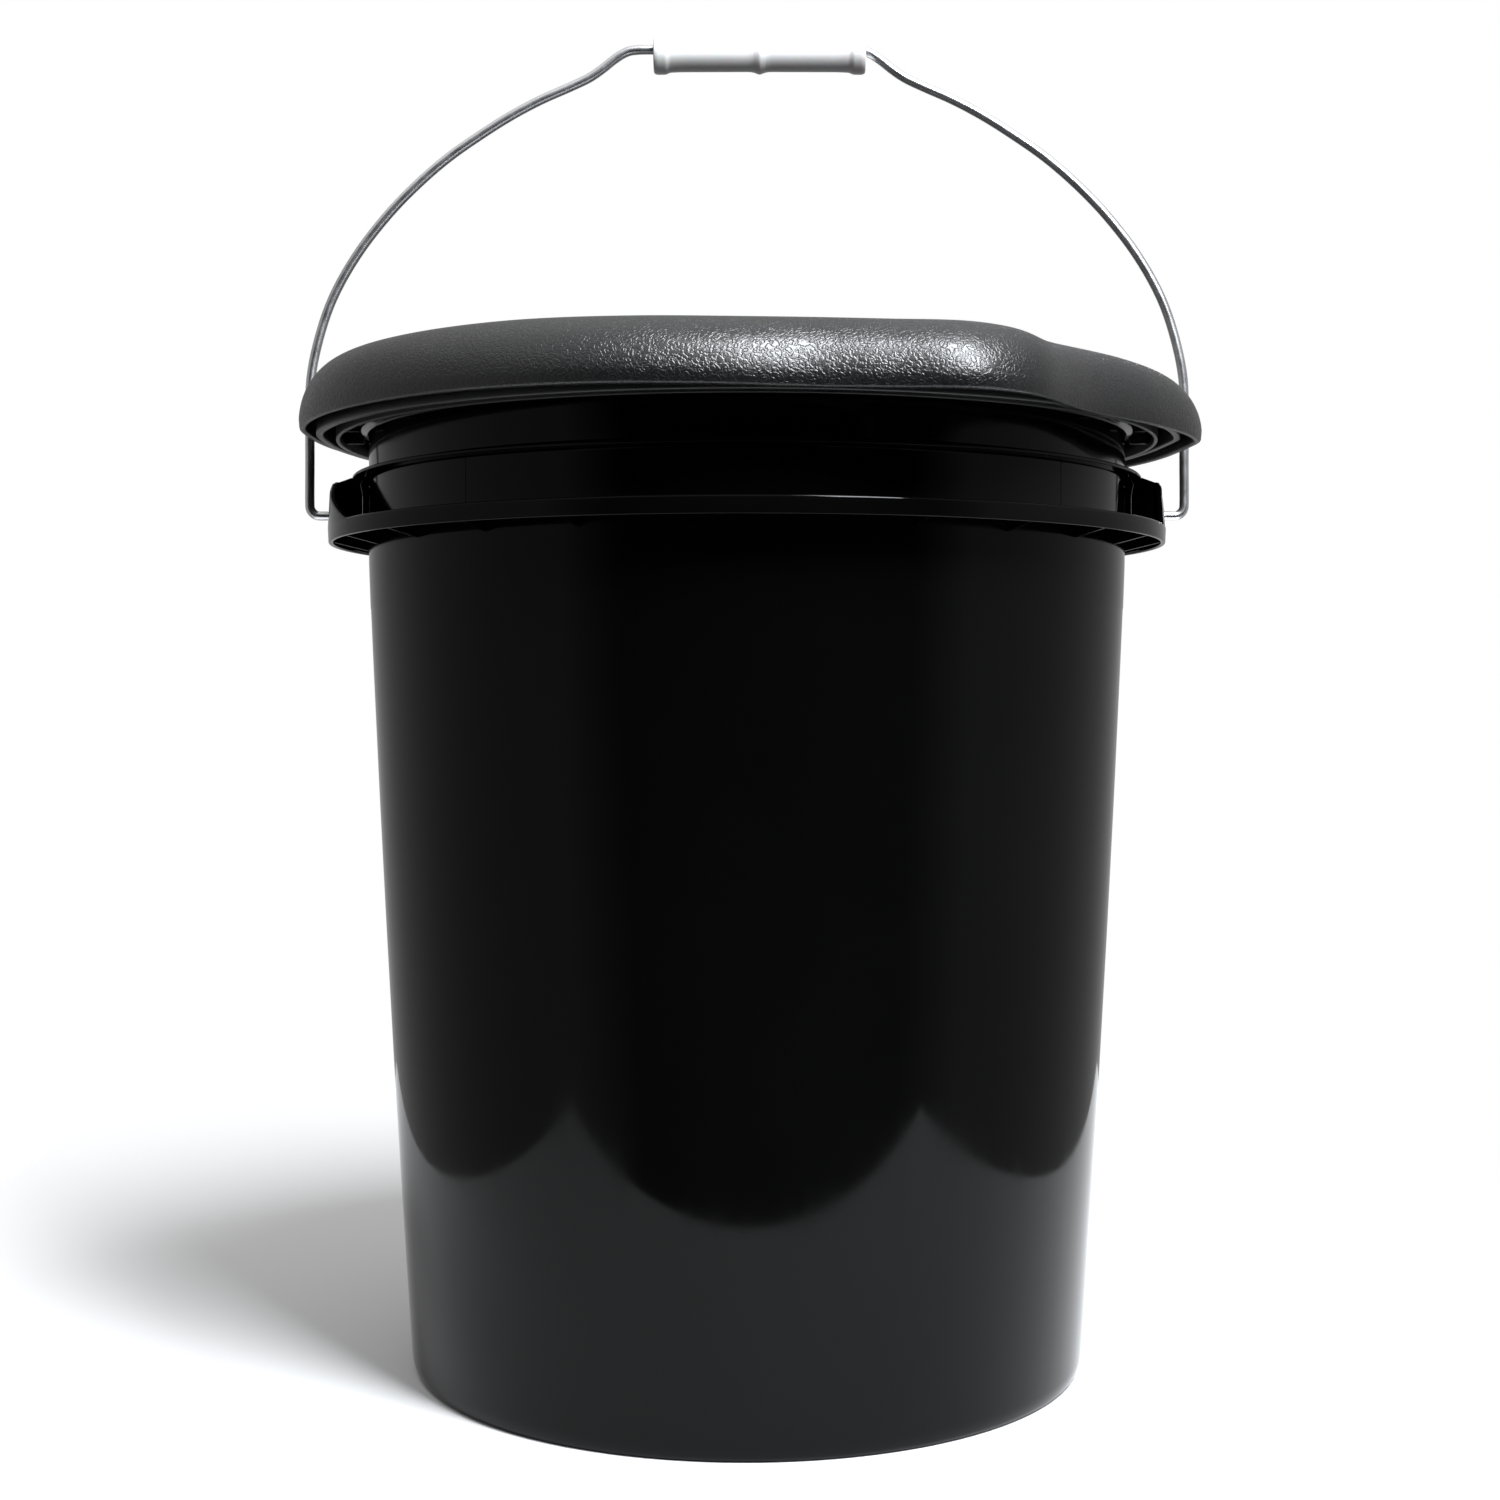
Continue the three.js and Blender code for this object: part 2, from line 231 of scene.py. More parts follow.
def lofted(sections):
    """Joins closed sections of equal length one to the next, and closes both ends."""
    verts = [v for section in sections for v in section]
    n = len(sections[0])
    faces = []
    for s in range(len(sections) - 1):
        for k in range(n):
            m = (k + 1) % n
            faces.append([s * n + k, s * n + m, (s + 1) * n + m, (s + 1) * n + k])
    faces.append(list(reversed(range(n))))
    faces.append([(len(sections) - 1) * n + k for k in range(n)])
    return verts, faces


def radial_plate(outline, thickness, degrees, shift=0.0, edge=0.3):
    """A plate with a rounded [radius, z] outline and softened faces, standing radially."""
    loop = rounded(outline, 0.8)
    middle = Vector((sum(p[0] for p in loop) / len(loop), sum(p[1] for p in loop) / len(loop)))
    angle = math.radians(degrees)
    sections = []
    half = thickness / 2
    for offset, inset in ((-half, edge), (-half + edge, 0), (half - edge, 0), (half, edge)):
        section = []
        for r, z in loop:
            away = Vector((r, z)) - middle
            p = middle + away * (1 - inset / max(away.length, edge))
            side = shift + offset
            x = p.x * math.cos(angle) - side * math.sin(angle)
            y = p.x * math.sin(angle) + side * math.cos(angle)
            section.append((x, y, p.y))
        sections.append(section)
    return lofted(sections)


def bar_along_x(radius, x0, x1, y, z, segments=40, edge=0.4):
    sections = []
    for x, r in ((x0, radius - edge), (x0 + edge, radius), (x1 - edge, radius), (x1, radius - edge)):
        ring = []
        for k in range(segments):
            t = 2 * math.pi * k / segments
            ring.append((x, y + r * math.cos(t), z + r * math.sin(t)))
        sections.append(ring)
    return lofted(sections)


def soft_block(low, high, edge=0.6):
    """A box with rounded upright edges and softened top and bottom."""
    x0, y0, z0 = low
    x1, y1, z1 = high
    sections = []
    for z, inset in ((z0, edge), (z0 + edge, 0), (z1 - edge, 0), (z1, edge)):
        corners = [
            (x0 + inset, y0 + inset), (x1 - inset, y0 + inset),
            (x1 - inset, y1 - inset), (x0 + inset, y1 - inset),
        ]
        sections.append([(x, y, z) for x, y in rounded(corners, 1.0)])
    return lofted(sections)


def around(table, degrees):
    """A smooth closed reading of a table of (degrees, value) rows."""
    at = degrees % 360
    n = len(table)
    after = next((i for i, row in enumerate(table) if row[0] > at), n)

    def row(i):
        turns = i // n
        return table[i - turns * n][0] + 360 * turns, table[i - turns * n][1]

    (a0, v0), (a1, v1), (a2, v2), (a3, v3) = (row(after + k) for k in (-2, -1, 0, 1))
    span = a2 - a1
    t = (at - a1) / span
    slope1 = (v2 - v0) / (a2 - a0) * span
    slope2 = (v3 - v1) / (a3 - a1) * span
    rise = v2 - v1
    square = 3 * rise - 2 * slope1 - slope2
    cube = slope1 + slope2 - 2 * rise
    return v1 + slope1 * t + square * t**2 + cube * t**3


def ramp(value, low, high):
    return min(max((value - low) / (high - low), 0.0), 1.0)


# ---------------------------------------------------------------------------
# Materials
# ---------------------------------------------------------------------------


class Nodes:
    """The node tree of a material or world, with short ways to add and join nodes."""

    def __init__(self, owner, shader="Principled BSDF", place="Object"):
        owner.use_nodes = True
        self.material = owner
        self.tree = owner.node_tree
        self.shader = self.tree.nodes[shader]
        self.place = self.add("ShaderNodeTexCoord").outputs[place]

    def add(self, kind, **values):
        node = self.tree.nodes.new(kind)
        for key, value in values.items():
            if hasattr(node, key):
                setattr(node, key, value)
            else:
                node.inputs[key.replace("_", " ").title()].default_value = value
        return node

    def join(self, out, into):
        self.tree.links.new(out, into)

    def stretched(self, scale):
        mapping = self.add("ShaderNodeMapping")
        mapping.inputs["Scale"].default_value = scale
        self.join(self.place, mapping.inputs["Vector"])
        return mapping.outputs["Vector"]

    def noise(self, scale, detail=2.0, roughness=0.5, vector=None):
        node = self.add("ShaderNodeTexNoise")
        node.inputs["Scale"].default_value = scale
        node.inputs["Detail"].default_value = detail
        node.inputs["Roughness"].default_value = roughness
        self.join(vector or self.place, node.inputs["Vector"])
        return node.outputs["Fac"]

    def spread(self, value, low, high, out_low, out_high):
        node = self.add("ShaderNodeMapRange")
        node.inputs["From Min"].default_value = low
        node.inputs["From Max"].default_value = high
        node.inputs["To Min"].default_value = out_low
        node.inputs["To Max"].default_value = out_high
        self.join(value, node.inputs["Value"])
        return node.outputs["Result"]

    def maths(self, operation, a, b=None):
        node = self.add("ShaderNodeMath", operation=operation)
        for value, socket in zip((a, b), node.inputs):
            if value is None:
                continue
            if isinstance(value, (int, float)):
                socket.default_value = value
            else:
                self.join(value, socket)
        return node.outputs[0]

    def colours(self, value, first, second):
        node = self.add("ShaderNodeMix", data_type="RGBA")
        self.join(value, node.inputs["Factor"])
        node.inputs[6].default_value = (*first, 1)
        node.inputs[7].default_value = (*second, 1)
        self.join(node.outputs[2], self.shader.inputs["Base Color"])

    def bump(self, height, distance, strength=1.0, after=None):
        node = self.add("ShaderNodeBump")
        node.inputs["Strength"].default_value = strength
        node.inputs["Distance"].default_value = distance
        self.join(height, node.inputs["Height"])
        if after:
            self.join(after, node.inputs["Normal"])
        return node.outputs["Normal"]

    def set(self, **values):
        for key, value in values.items():
            self.shader.inputs[key.replace("_", " ")].default_value = value


def gloss_black():
    """Smooth glossy polypropylene with faint drag lines, haze and a slow waviness in the wall."""
    n = Nodes(bpy.data.materials.new("gloss_black"))
    haze = n.noise(11, detail=5, roughness=0.6)
    drag = n.noise(70, detail=3, vector=n.stretched((1, 1, 0.06)))
    dust = n.spread(n.noise(900, detail=2), 0.7, 0.8, 0, 0.15)
    n.colours(haze, (0.001, 0.001, 0.001), (0.0024, 0.0024, 0.0025))
    rough = n.maths("ADD", n.spread(haze, 0.35, 0.7, 0.035, 0.11), n.spread(drag, 0.45, 0.75, 0, 0.05))
    n.join(n.maths("ADD", rough, dust), n.shader.inputs["Roughness"])
    waves = n.bump(n.noise(9, detail=1, vector=n.stretched((1, 1, 0.35))), 0.0016, 0.6)
    fine = n.bump(drag, 0.00003, 0.6, after=waves)
    n.join(fine, n.shader.inputs["Normal"])
    n.set(IOR=1.46, Specular_IOR_Level=0.13)
    return n.material


def grain_black(name, cell=620, depth=0.00011, tone=0.006, shine=0.5):
    """Moulded plastic with a worm-like leather grain, glossier on the tops of the grain."""
    n = Nodes(bpy.data.materials.new(name))
    wide = n.noise(14, detail=3)
    folds = n.noise(cell, detail=1.5, roughness=0.45)
    ridge = n.maths("ABSOLUTE", n.maths("SUBTRACT", folds, 0.5))
    worms = n.spread(ridge, 0.0, 0.11, 0, 1)
    pores = n.noise(cell * 3.3, detail=2)
    n.colours(worms, (tone * 0.7, tone * 0.7, tone * 0.73), (tone * 1.15, tone * 1.15, tone * 1.2))
    rough = n.maths("ADD", n.spread(worms, 0, 1, 0.4, 0.28), n.spread(wide, 0.35, 0.7, 0, 0.06))
    n.join(rough, n.shader.inputs["Roughness"])
    height = n.maths("ADD", worms, n.maths("MULTIPLY", pores, 0.25))
    n.join(n.bump(height, depth, 0.8), n.shader.inputs["Normal"])
    n.set(IOR=1.5, Specular_IOR_Level=shine)
    return n.material


def zinc_steel():
    """Bright zinc-plated wire with faint drawing lines along it and small dull patches."""
    n = Nodes(bpy.data.materials.new("zinc_steel"))
    patches = n.noise(120, detail=4, roughness=0.65)
    lines = n.noise(2200, detail=2, vector=n.stretched((0.1, 1, 0.1)))
    n.colours(patches, (0.62, 0.62, 0.64), (0.74, 0.74, 0.75))
    rough = n.maths("ADD", n.spread(patches, 0.3, 0.7, 0.24, 0.3), n.spread(lines, 0.3, 0.7, 0, 0.06))
    n.join(rough, n.shader.inputs["Roughness"])
    n.join(n.bump(lines, 0.000004, 0.2), n.shader.inputs["Normal"])
    n.set(Metallic=1.0)
    return n.material


def white_plastic():
    """White polyethylene, slightly translucent, with a soft moulded skin and faint yellowing."""
    n = Nodes(bpy.data.materials.new("white_plastic"))
    haze = n.noise(45, detail=4)
    skin = n.noise(1500, detail=2)
    n.colours(haze, (0.62, 0.615, 0.61), (0.58, 0.575, 0.57))
    n.join(n.spread(haze, 0.3, 0.7, 0.32, 0.45), n.shader.inputs["Roughness"])
    n.join(n.bump(skin, 0.00003, 0.5), n.shader.inputs["Normal"])
    n.set(Subsurface_Weight=0.25, Subsurface_Scale=0.002)
    return n.material


def pad_rubber():
    """Matt rubber with fine specks."""
    n = Nodes(bpy.data.materials.new("pad_rubber"))
    specks = n.noise(700, detail=3)
    n.colours(specks, (0.014, 0.014, 0.014), (0.028, 0.027, 0.026))
    n.join(n.spread(specks, 0.3, 0.7, 0.62, 0.82), n.shader.inputs["Roughness"])
    n.join(n.bump(specks, 0.00008, 0.6), n.shader.inputs["Normal"])
    return n.material


GLOSS = gloss_black()
GRAIN = grain_black("grain_black")
SATIN = grain_black("satin_black", cell=1400, depth=0.00004, tone=0.01, shine=0.45)
STEEL = zinc_steel()
WHITE = white_plastic()
RUBBER = pad_rubber()

# ---------------------------------------------------------------------------
# Bucket
# ---------------------------------------------------------------------------


def wall_radius(z):
    """Outer radius of the wall, which tapers with a slight bulge."""
    s = z / NECK_Z
    return BASE_R + (NECK_R - BASE_R) * s + 4 * s * (1 - s)


def bucket_profile():
    mould_line = NECK_Z - 18
    levels = [8, 30, 70, 120, 170, 220, 270, mould_line - 0.8]
    outside = [(wall_radius(z), z, 8) for z in levels]
    outside += [(wall_radius(mould_line) + 0.12, mould_line, 0.3), (wall_radius(NECK_Z), NECK_Z, 8)]
    inside = [(wall_radius(z) - WALL, z, 8) for z in reversed(levels[1:] + [NECK_Z])]
    points = [
        (0, 0), (108, 0), (110, 1.2), (114, 1.2), (116, 0),
        (BASE_R - 1.2, 0, 1.8), (BASE_R + 0.2, 4, 2.2),
        *outside,
        (NECK_R, SKIRT_Z - 1.8, 1), (SKIRT_R - 1.9, SKIRT_Z - 1.8, 0.8), (SKIRT_R - 2.1, SKIRT_Z - 6.5),
        (SKIRT_R - 0.3, SKIRT_Z - 6.5), (SKIRT_R, SKIRT_Z - 0.2, 1), (NECK_R, SKIRT_Z, 1.2),
        (NECK_R, FLANGE_Z - 0.9, 1), (FLANGE_R, FLANGE_Z - 0.7, 0.5), (FLANGE_R, FLANGE_Z + 0.6, 0.5),
        (NECK_R, FLANGE_Z + 0.9, 1),
        (NECK_R, RIM_Z - 5, 1), (BEAD_R, RIM_Z - 4.4, 1), (BEAD_R, RIM_Z, 1.6),
        (NECK_R - WALL, RIM_Z, 0.9),
        *inside,
        (BASE_R - 2.5, 3, 5), (0, 3),
    ]
    return rounded(points, 0.5, closed=False)


def ear_plate(side):
    """The ear's outer plate. Its long fairing is at the back on the +X ear and in front on the -X ear."""
    foot = SKIRT_Z - 1.5
    top = PIVOT_Z + 12
    start, end = -76, 20
    thickness = 2.2
    shape = [(start, foot), (-16, top), (14, top), (end, foot)]
    sections = []
    steps = 70
    for k in range(steps + 1):
        y = start + (end - start) * k / steps
        i = next(i for i in range(3) if y <= shape[i + 1][0] + 1e-6)
        (ya, za), (yb, zb) = shape[i], shape[i + 1]
        height = za + (zb - za) * (y - ya) / (yb - ya)
        height = min(height, top - 1.2 * ramp(abs(y + 0.5), 11, 15) ** 2)
        lean = 1.6 * ramp(height, SKIRT_Z, top) ** 2
        outer = SKIRT_R - lean
        loop = [
            (SKIRT_R - thickness, foot), (SKIRT_R, foot),
            (outer, height + 0.3), (SKIRT_R - thickness - lean, height + 0.3),
        ]
        angle = math.asin(y / SKIRT_R)
        section = []
        for r, z in rounded(loop, 0.8):
            section.append((side * r * math.cos(angle), -side * r * math.sin(angle), z))
        sections.append(section)
    return lofted(sections)


def make_bucket():
    gusset = [(NECK_R - 0.5, 316), (SKIRT_R - 1.5, 319.5), (SKIRT_R - 1.5, 323.6), (NECK_R - 0.5, 323.6)]
    gussets = [radial_plate(gusset, 1.1, 7.5 + 15 * i) for i in range(24)]
    neck_rib = [
        (NECK_R - 0.5, SKIRT_Z - 0.5), (NECK_R + 0.12, SKIRT_Z - 0.5),
        (NECK_R + 0.12, FLANGE_Z), (NECK_R - 0.5, FLANGE_Z),
    ]
    neck_ribs = [radial_plate(neck_rib, 0.9, 3.7 + 45 * i) for i in range(8)]
    top = PIVOT_Z + 11.5
    rib = [
        (NECK_R + 2.5, SKIRT_Z - 1), (SKIRT_R - 0.6, SKIRT_Z - 1), (SKIRT_R - 1.4, top - 0.5, 3),
        (SKIRT_R - 5, top + 0.8, 3), (NECK_R + 4, top + 3.2, 3), (NECK_R + 2.5, top - 4),
    ]
    ear_ribs = [radial_plate(rib, 2, 90 - 90 * side, y) for side in (-1, 1) for y in (-13, 13)]
    middles = (-162.5, 162.5)
    holes = [bar_along_x(WIRE_R + 0.5, x - 7, x + 7, 0, PIVOT_Z) for x in middles]
    make_piece(
        "bucket_moulding", turned(bucket_profile(), closed=False), "bucket", GLOSS, "bucket",
        joins=[joined(gussets), joined(neck_ribs), joined([ear_plate(-1), ear_plate(1)]), joined(ear_ribs)],
        cuts=[joined(holes)],
    )


# ---------------------------------------------------------------------------
# Bail and grip
# ---------------------------------------------------------------------------


def bail_points():
    """The wire's centre line, from one hooked end over the top to the other."""
    bend = 4
    half = [(158, PIVOT_Z), (162, PIVOT_Z), (167, PIVOT_Z)]
    for a in range(-90, 1, 15):
        t = math.radians(a)
        half.append((BAIL_HALF - bend + bend * math.cos(t), PIVOT_Z + bend + bend * math.sin(t)))
    half += [
        (BAIL_HALF, 352), (BAIL_HALF, 370), (173.2, 386), (170, 402), (164.5, 418), (155, 435),
        (142.7, 451), (130.6, 463.5), (118.4, 474), (106, 482.7), (94, 490.3), (82, 496.7), (70, 502),
        (62.5, 505.6), (57.5, 509), (53, 512.6), (49, 515.2), (45.5, BAIL_TOP_Z), (24, BAIL_TOP_Z),
    ]
    points = [Vector((x, 0, z)) for x, z in half]
    return points + [Vector((-p.x, 0, p.z)) for p in reversed(points)]


def smooth_path(points, steps=5):
    """A centripetal Catmull-Rom curve through the points."""
    ends = [points[0] * 2 - points[1], *points, points[-1] * 2 - points[-2]]
    out = []
    for i in range(1, len(ends) - 2):
        p0, p1, p2, p3 = ends[i - 1 : i + 3]
        d1, d2, d3 = (max((b - a).length, 1e-6) ** 0.5 for a, b in ((p0, p1), (p1, p2), (p2, p3)))
        m1 = (p2 - p1) + d2 * ((p1 - p0) / d1 - (p2 - p0) / (d1 + d2))
        m2 = (p2 - p1) + d2 * ((p3 - p2) / d3 - (p3 - p1) / (d2 + d3))
        for k in range(steps):
            t = k / steps
            a, b = 2 * t**3 - 3 * t**2 + 1, t**3 - 2 * t**2 + t
            c, d = -2 * t**3 + 3 * t**2, t**3 - t**2
            out.append(p1 * a + m1 * b + p2 * c + m2 * d)
    out.append(points[-1])
    return out


def make_bail():
    path = smooth_path(bail_points())
    sections = []
    sides = 20
    for i, p in enumerate(path):
        along = (path[min(i + 1, len(path) - 1)] - path[max(i - 1, 0)]).normalized()
        across = Vector((along.z, 0, -along.x))
        end = min(i, len(path) - 1 - i)
        radius = WIRE_R * (0.8 if end == 0 else 1.0)
        ring = []
        for k in range(sides):
            t = 2 * math.pi * k / sides
            ring.append(p + across * (radius * math.cos(t)) + Vector((0, radius * math.sin(t), 0)))
        sections.append(ring)
    make_piece("bail_wire_steel", lofted(sections), "bail", STEEL, "bail_wire")


def make_grip():
    """A moulded roller: flared ends with a step, and a small ring at its middle."""
    h = GRIP_HALF
    bore = WIRE_R + GRIP_DROP + 0.35
    side = [
        (bore, h - 0.3, 0.3), (bore + 0.5, h, 0.3), (6.7, h, 0.8), (7.2, h - 1.4, 0.6),
        (7.15, h - 4.8, 0.6), (6.4, h - 6.4, 0.8), (6.2, h - 11, 2), (6.12, 4, 1),
        (6.35, 2.4, 0.4), (7.1, 0.3, 0.25),
    ]
    points = side + [(r, -x, c) for r, x, c in reversed(side)]
    verts, faces = turned(rounded(points, 0.5, steps=4), segments=72)
    placed = [(z + GRIP_MIDDLE, y, GRIP_Z - x) for x, y, z in verts]
    make_piece("bail_grip_roller", (placed, faces), "grip", WHITE, "bail_grip")


# ---------------------------------------------------------------------------
# Seat
# ---------------------------------------------------------------------------


def seat_rule(radius, z, degrees):
    """The outer wall follows the lid's edge inside it, and the other walls are round."""
    wall = min(max(around(LID_EDGE, degrees) - 6.5, 163.2), 169)
    return radius + (wall - 166) * ramp(radius, 161, 163), z


def make_seat():
    under = RIM_Z + GAP
    inner = NECK_R - WALL
    points = [
        (SEAT_HOLE_R + 1, 352), (SEAT_HOLE_R + 3, 352), (SEAT_HOLE_R + 3.5, under, 1),
        (inner - 4, under, 1), (inner - 3.5, 355), (inner - 1.5, 355), (inner - 0.6, 360),
        (inner - 0.6, under, 0.2),
        (COLLAR_R - 1.5, under, 0.5), (COLLAR_R - 1.5, LID_BOTTOM_Z), (COLLAR_R, LID_BOTTOM_Z),
        (COLLAR_R, 366.8), (162.6, 366), (163.4, LID_BOTTOM_Z, 0.5), (166, LID_BOTTOM_Z, 0.9),
        (166, 362.5, 3), (163.5, 367.8, 4), (157, SEAT_TOP_Z - 3.4, 6), (147, SEAT_TOP_Z - 1.2, 8),
        (134, SEAT_TOP_Z, 10), (124, SEAT_TOP_Z - 0.6, 6), (116, SEAT_TOP_Z - 2.5, 5),
        (SEAT_HOLE_R, 368, 5),
    ]
    gusset = [
        (BEAD_R + 0.5, LID_BOTTOM_Z + 2), (COLLAR_R - 1, LID_BOTTOM_Z + 2),
        (COLLAR_R - 1, RIM_Z + 1), (BEAD_R + 0.5, RIM_Z + 1),
    ]
    gussets = [radial_plate(gusset, 1.5, 15 * i) for i in range(24)]
    sides = (-HINGE_X, HINGE_X)
    notches = [soft_block((x - 11.5, HINGE_Y - 6, 352), (x + 11.5, HINGE_Y + 12, 380)) for x in sides]
    roots = [
        soft_block((x - 4, HINGE_Y - 12, HINGE_Z), (x + 4, HINGE_Y - 5.5, HINGE_Z + 7.5)) for x in sides
    ]
    lugs = [soft_block((x - 4, HINGE_Y - 7, HINGE_Z - 4.4), (x + 4, HINGE_Y, HINGE_Z + 4.4)) for x in sides]
    bars = [bar_along_x(HINGE_R, x - 4, x + 4, HINGE_Y, HINGE_Z) for x in sides]
    ring = make_piece(
        "seat_ring", turned(rounded(points, 0.5), rule=seat_rule), "seat", SATIN, "seat",
        joins=[joined(gussets)], cuts=[joined(notches)],
    )
    for shells in (roots, lugs, bars):
        combine(ring, "UNION", *joined(shells))
    holes = [bar_along_x(PIN_R + GAP, x - 12, x + 12, HINGE_Y, HINGE_Z) for x in sides]
    combine(ring, "DIFFERENCE", *joined(holes))
    for name, x in (("left", -HINGE_X), ("right", HINGE_X)):
        pin = bar_along_x(PIN_R, x - 9.6, x + 9.6, HINGE_Y, HINGE_Z)
        make_piece(f"hinge_pin_{name}_steel", pin, "seat", STEEL, f"hinge_pin_{name}")


# ---------------------------------------------------------------------------
# Lid
# ---------------------------------------------------------------------------


def lid_rule(radius, z, degrees):
    """Moves the reference section's edge and shoulder to their own radius at each angle."""
    edge = around(LID_EDGE, degrees) - SECTION_EDGE
    shoulder = (around(LID_SHOULDER, degrees) - SECTION_SHOULDER) * ramp(radius, 60, SECTION_SHOULDER)
    share = ramp(radius, SECTION_SHOULDER, SECTION_EDGE)
    r = radius + shoulder * (1 - share) + edge * share
    return r, z - LID_SKEW * r * math.cos(math.radians(degrees))


def dome(radius):
    """Height of the lid's top inside its shoulder."""
    return LID_TOP_Z - (LID_TOP_Z - LID_SHOULDER_Z) * (radius / SECTION_SHOULDER) ** 2


def lid_profile():
    """The reference section: a rounded side from the edge up to the shoulder, and a slightly domed top."""
    side = []
    steps = 24
    for k in range(steps + 1):
        t = math.pi / 2 * k / steps
        r = SECTION_SHOULDER + (SECTION_EDGE - SECTION_SHOULDER) * math.cos(t)
        z = LID_WIDEST_Z + (LID_SHOULDER_Z - LID_WIDEST_Z) * math.sin(t)
        side.append((r, z))
    inner = []
    for r, z in reversed(side):
        inner.append((r - LID_WALL * ramp(r, 140, 165), z - LID_WALL * ramp(z, 362, 380)))
    tops = [(r, dome(r)) for r in (140, 125, 110, 90, 70, 50, 30, 15)]
    lip = [
        (SECTION_EDGE - LID_WALL, LID_WIDEST_Z + 0.5), (SECTION_EDGE - 0.3 - LID_WALL, LID_BOTTOM_Z, 1.3),
        (SECTION_EDGE - 0.5, LID_BOTTOM_Z, 1.3), (SECTION_EDGE, LID_WIDEST_Z + 0.5),
    ]
    lip = rounded(lip, 0.5, steps=5, closed=False)
    return [
        (0, dome(0) - LID_WALL),
        *[(r, z - LID_WALL) for r, z in reversed(tops)],
        *inner[:-1],
        *lip[1:-1],
        *side[1:],
        *tops,
        (0, dome(0)),
    ]


def make_lid():
    under = LID_TOP_Z - LID_WALL
    ring_rib = turned([(98, under - 6), (100, under - 6), (101, under + 1), (97, under + 1)], segments=120)
    spoke = [(14, under - 4), (98.5, under - 4), (98.5, under + 0.6), (14, under + 1)]
    spokes = [radial_plate(spoke, 2, 30 * i) for i in range(12)]
    cheeks, bars = [], []
    for x in (-HINGE_X, HINGE_X):
        for x0 in (x - 9.8, x + 4.4):
            bars.append(bar_along_x(HINGE_R, x0, x0 + 5.4, HINGE_Y, HINGE_Z))
            low, high = (x0, HINGE_Y - HINGE_R, HINGE_Z), (x0 + 5.4, HINGE_Y + 3, HINGE_Z + 14)
            cheeks.append(soft_block(low, high))
    span = HINGE_X + 12
    relief = soft_block((-span, HINGE_Y - 8, 350), (span, HINGE_Y + 12, HINGE_Z + 6))
    lid = make_piece(
        "lid_shell", turned(lid_profile(), segments=360, rule=lid_rule, closed=False),
        "lid", GRAIN, "lid", joins=[ring_rib, joined(spokes)], cuts=[relief],
    )
    for shells in (cheeks, bars):
        combine(lid, "UNION", *joined(shells))
    holes = [bar_along_x(PIN_R + GAP, x - 12, x + 12, HINGE_Y, HINGE_Z) for x in (-HINGE_X, HINGE_X)]
    combine(lid, "DIFFERENCE", *joined(holes))


def make_pads():
    """Round pads under the lid, which rest on the seat."""
    for i in range(4):
        node = f"lid_pad_{i + 1}"
        low, high = box_mm(node)
        x, y = (low[0] + high[0]) / 2, (low[1] + high[1]) / 2
        points = [(0, low[2]), (3.9, low[2], 0.8), (4.8, high[2], 0.4), (0, high[2])]
        verts, faces = turned(rounded(points, 0.5, closed=False), segments=36, closed=False)
        placed = [(px + x, py + y, pz) for px, py, pz in verts]
        make_piece(f"{node}_rubber", (placed, faces), "lid", RUBBER, node)


# ---------------------------------------------------------------------------
# Floor, light and camera
# ---------------------------------------------------------------------------


def make_floor():
    """A white table top, which the wall of the bucket reflects."""
    mesh = bpy.data.meshes.new("floor")
    side, front, back = 0.4, -0.355, 0.6
    corners = [(-side, front, 0), (side, front, 0), (side, back, 0), (-side, back, 0)]
    mesh.from_pydata(corners, [], [(0, 1, 2, 3)])
    floor = bpy.data.objects.new("floor", mesh)
    bpy.context.scene.collection.objects.link(floor)
    n = Nodes(bpy.data.materials.new("floor_paper"))
    n.colours(n.noise(3, detail=3), (0.8, 0.8, 0.8), (0.78, 0.78, 0.78))
    n.set(Roughness=0.95)
    mesh.materials.append(n.material)


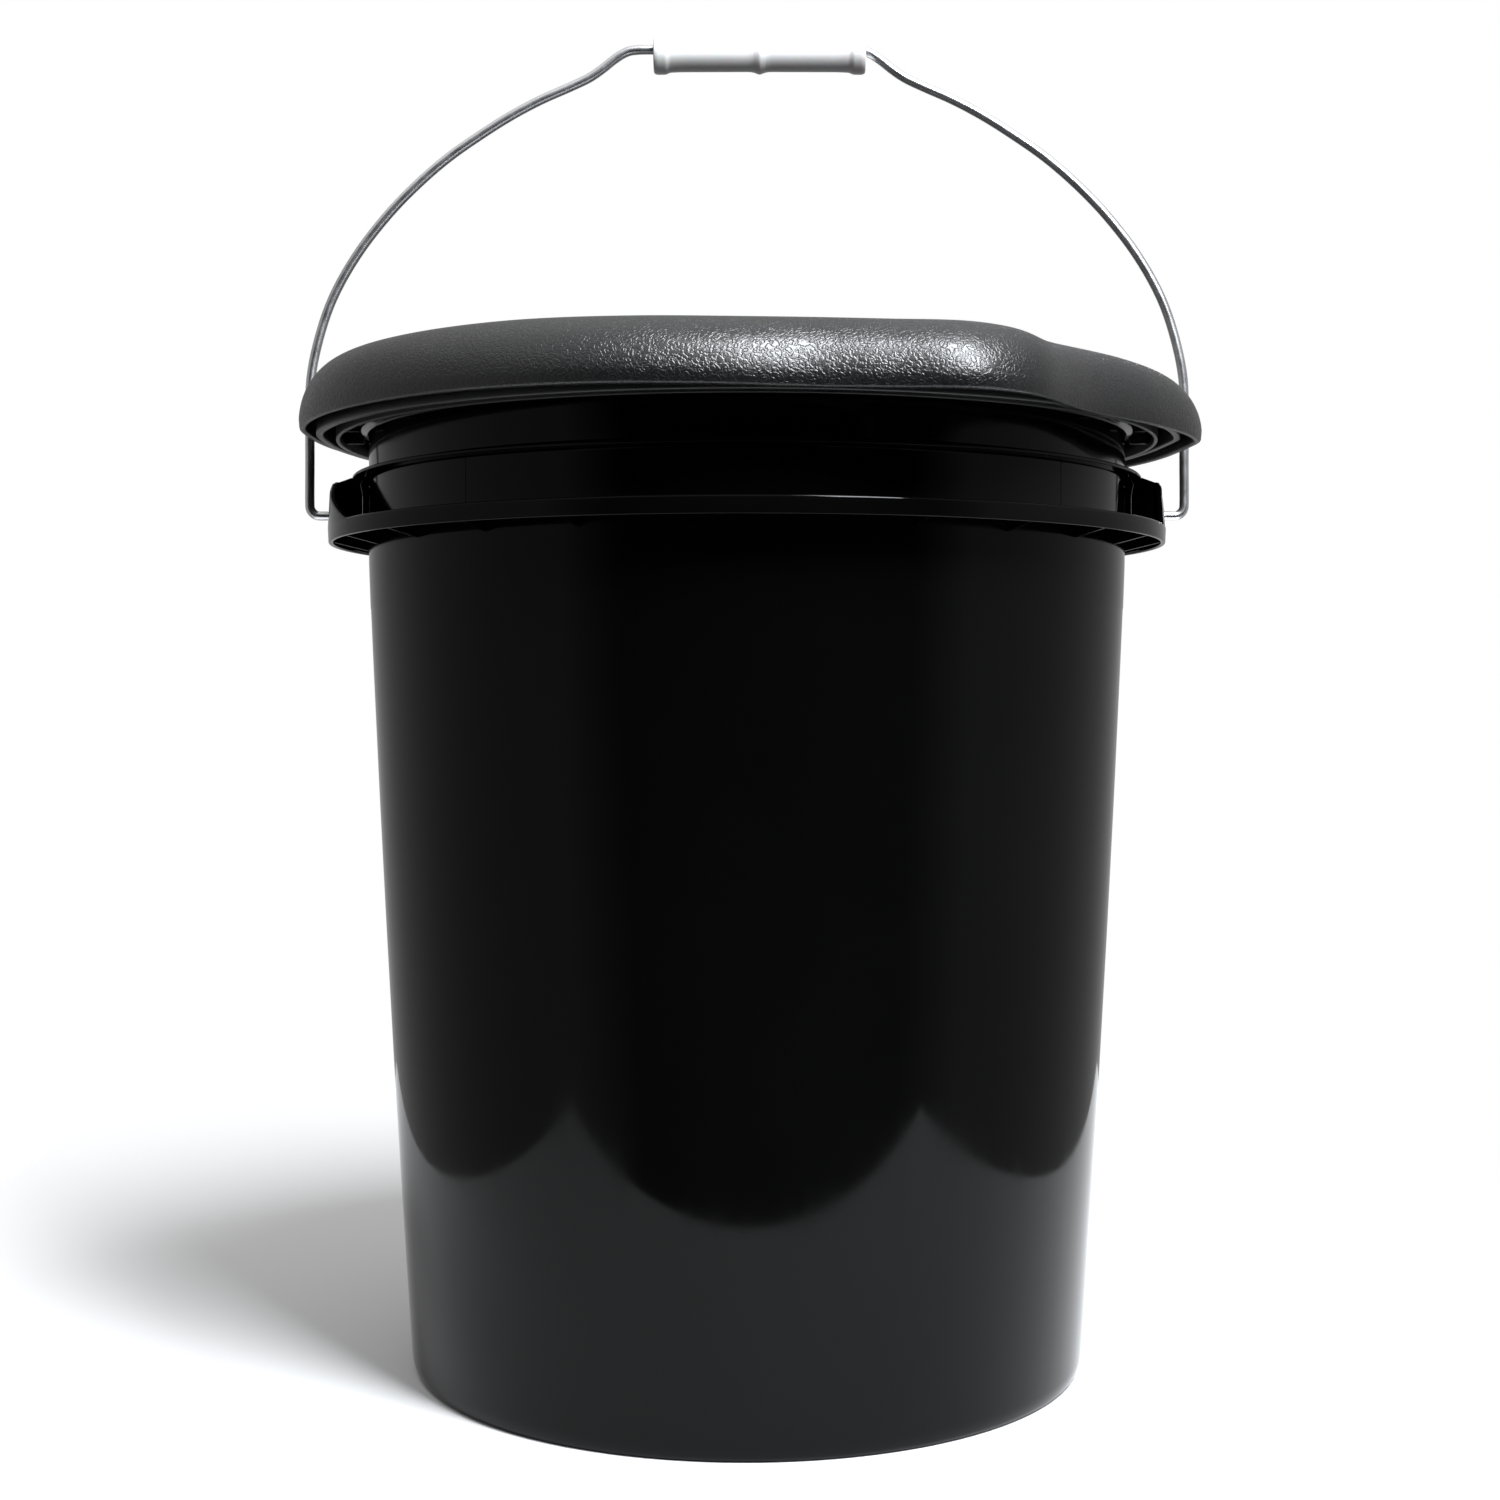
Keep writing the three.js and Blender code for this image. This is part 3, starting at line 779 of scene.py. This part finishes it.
def make_light(name, place, target, size, power):
    """A soft box that faces its target."""
    light = bpy.data.lights.new(name, "AREA")
    light.shape = "RECTANGLE"
    light.size, light.size_y = size
    light.energy = power
    light.color = (0.93, 0.96, 1.0)
    lamp = bpy.data.objects.new(name, light)
    lamp.location = place
    lamp.rotation_euler = (Vector(target) - Vector(place)).to_track_quat("-Z", "Y").to_euler()
    bpy.context.scene.collection.objects.link(lamp)


def make_ceiling(power):
    """Soft even light from the whole ceiling."""
    light = bpy.data.lights.new("ceiling", "SUN")
    light.energy = power
    light.angle = math.radians(100)
    lamp = bpy.data.objects.new("ceiling", light)
    bpy.context.scene.collection.objects.link(lamp)


def make_world():
    """A white background, and round it a studio with a pale ceiling, grey sides and a dark front."""
    world = bpy.data.worlds.new("studio")
    bpy.context.scene.world = world
    n = Nodes(world, shader="Background", place="Generated")
    split = n.add("ShaderNodeSeparateXYZ")
    n.join(n.place, split.inputs[0])
    x, y, z = split.outputs
    forward = n.maths("SUBTRACT", n.maths("MULTIPLY", x, 0.12), y)
    front = n.spread(forward, 0.48, 0.74, 0.36, 0.0)
    behind = n.spread(y, 0.7, 0.97, 0, 0.08)
    above = n.spread(z, 0.4, 0.7, 0, 0.3)
    light = n.maths("MAXIMUM", n.maths("ADD", front, behind), above)
    path = n.add("ShaderNodeLightPath")
    n.shader.inputs["Color"].default_value = (1, 1, 1, 1)
    n.join(n.maths("MAXIMUM", light, path.outputs["Is Camera Ray"]), n.shader.inputs["Strength"])


def make_camera():
    """Level with the bucket's middle, as a product photograph is taken."""
    camera = bpy.data.cameras.new("camera")
    camera.sensor_width = 36
    camera.lens = 52.8
    camera.shift_y = -0.0315
    eye = bpy.data.objects.new("camera", camera)
    eye.location = (0.0012, -0.874, 0.2573)
    eye.rotation_euler = (math.radians(90), 0, 0)
    bpy.context.scene.collection.objects.link(eye)
    bpy.context.scene.camera = eye


make_bucket()
make_bail()
make_grip()
make_seat()
make_lid()
make_pads()
make_floor()
make_light("overhead", (0.46, -0.68, 1.35), (0.1, 0.0, 0.35), (0.42, 1.1), 60)
make_ceiling(0.9)
make_world()
make_camera()

bpy.context.scene.view_settings.view_transform = "Standard"
